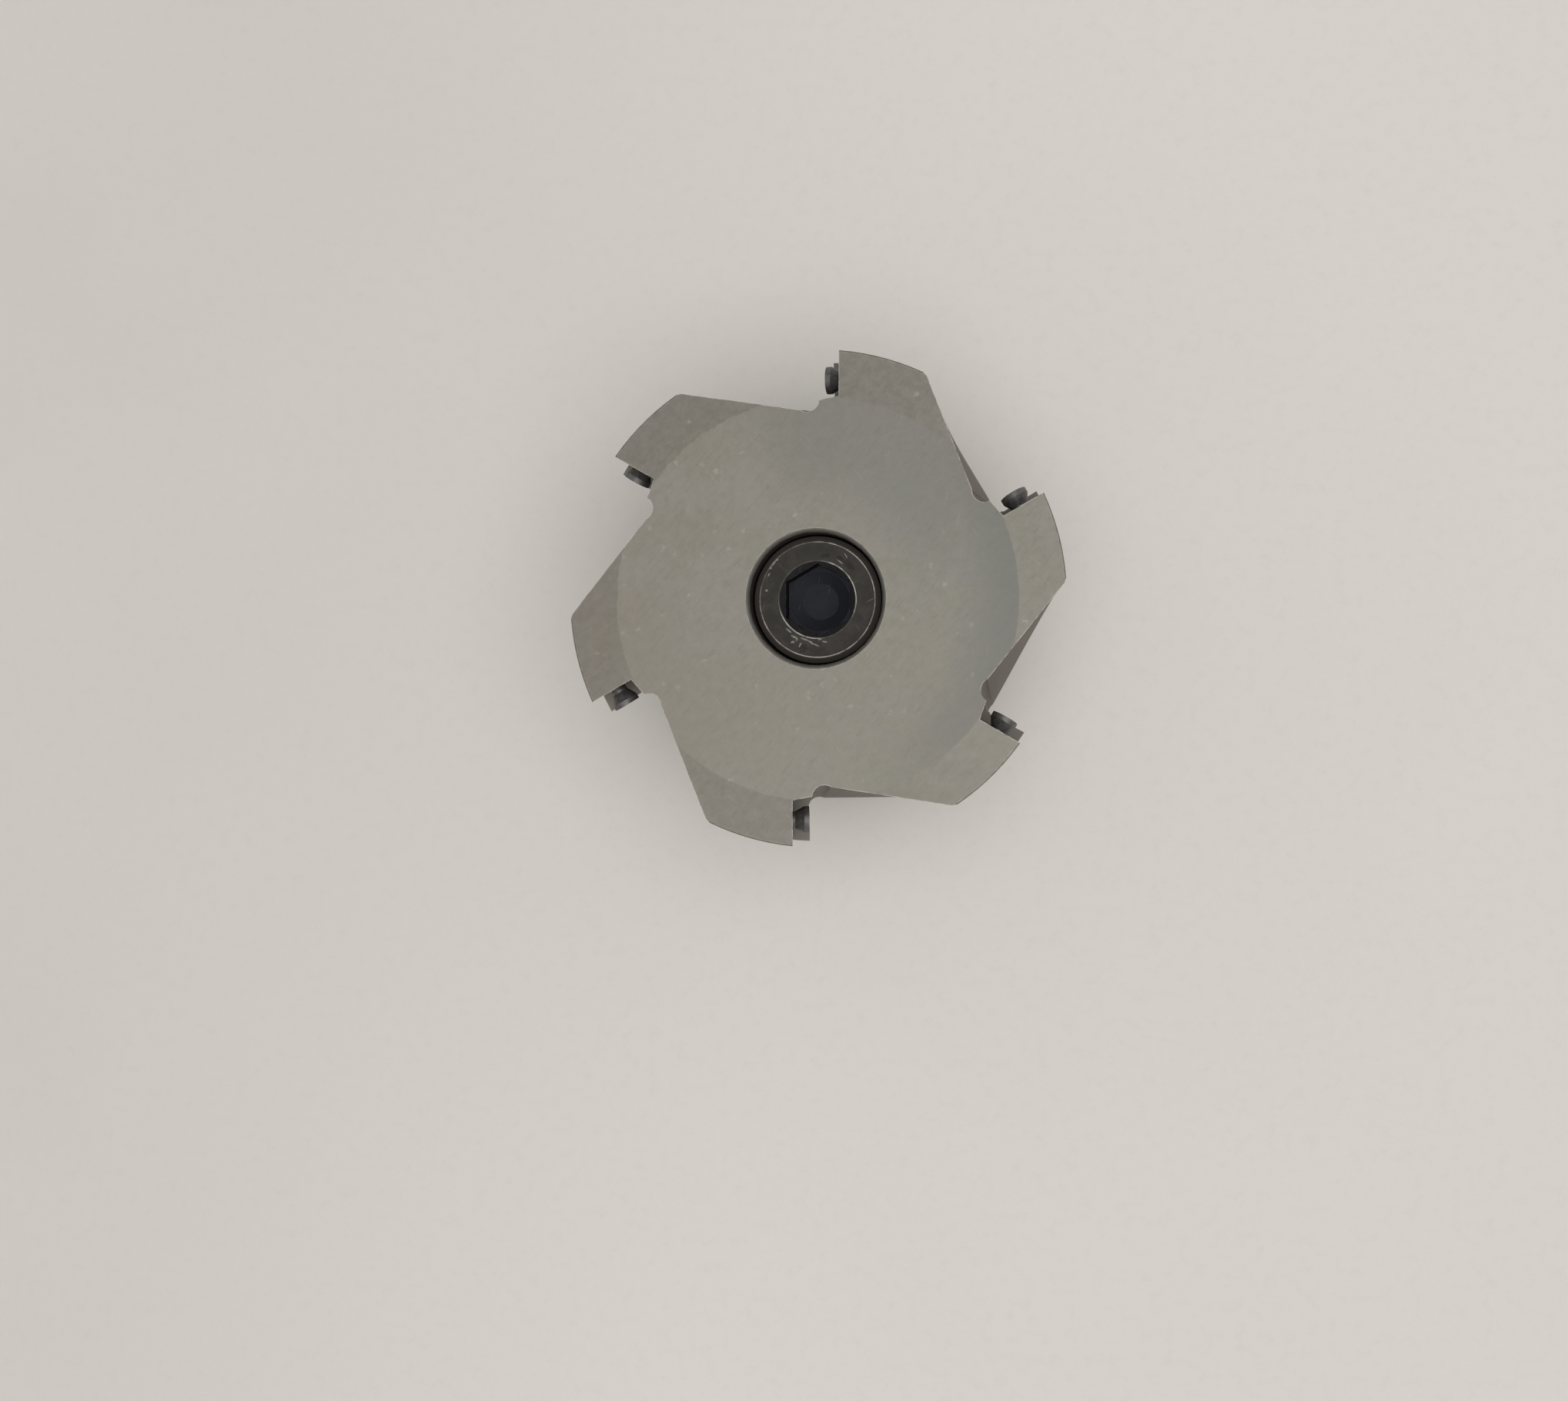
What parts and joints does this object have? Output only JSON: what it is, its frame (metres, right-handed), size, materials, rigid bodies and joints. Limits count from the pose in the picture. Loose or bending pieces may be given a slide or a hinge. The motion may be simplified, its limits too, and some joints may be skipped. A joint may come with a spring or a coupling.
{
  "type": "indexable face mill",
  "caption": "Face mill body for square shoulders, fitted on an arbor, with six empty insert pockets, their screws and the socket head screw that holds it.",
  "frame": {"origin": "centre of the hub's flat back face, on the spindle axis", "axes": "+Z along the spindle axis from the back face to the cutting face; +Y along the tooth that the picture shows at the top; +X to the picture's right"},
  "size_m": [0.0618, 0.062, 0.04],
  "materials": {
    "mill_body": "satin, blasted grey steel with handling marks",
    "arbor_screw": "black oxide, worn bright at the edges",
    "insert_screws": "black oxide, satin"
  },
  "bodies": {
    "root": {"mill_body": "mill_body", "arbor_screw": "arbor_screw", "insert_screws": "insert_screws"}
  },
  "joints": []
}
